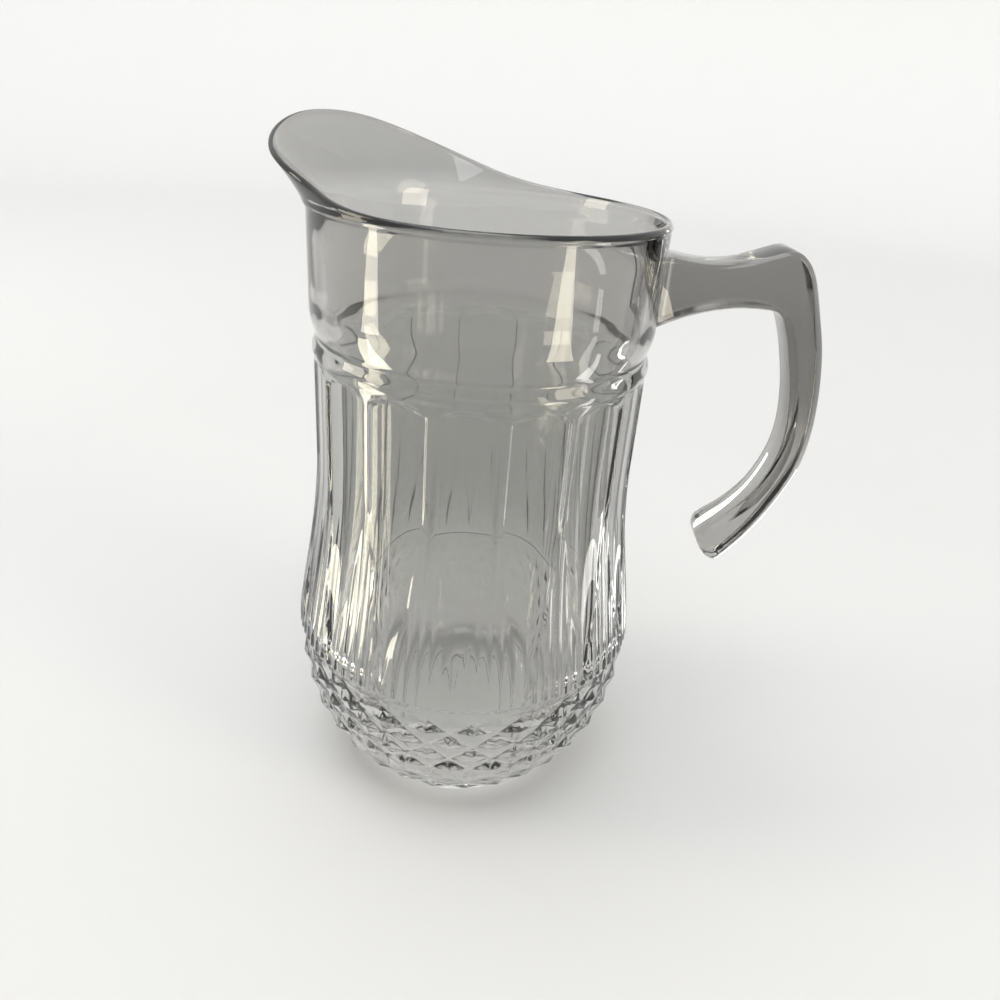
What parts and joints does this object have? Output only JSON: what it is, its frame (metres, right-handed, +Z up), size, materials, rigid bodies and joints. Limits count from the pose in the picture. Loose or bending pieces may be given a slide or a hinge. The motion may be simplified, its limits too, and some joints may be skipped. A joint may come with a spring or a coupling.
{
  "type": "glass pitcher",
  "caption": "Clear pressed glass pitcher with a diamond-cut bowl, ribbed fans, tall petals, a raised pouring lip and a hooked handle that ends free.",
  "frame": {"origin": "centre of the foot ring, on the surface that the pitcher stands on", "axes": "+Z up along the body's axis, +X towards the handle, lip towards -X and turned 15 degrees towards +Y"},
  "size_m": [0.1833, 0.126, 0.23],
  "materials": {
    "clear_glass": "fire-polished clear crystal, slightly grey where it is thick"
  },
  "bodies": {
    "root": {"pitcher_body": "clear_glass", "handle": "clear_glass"}
  },
  "joints": []
}
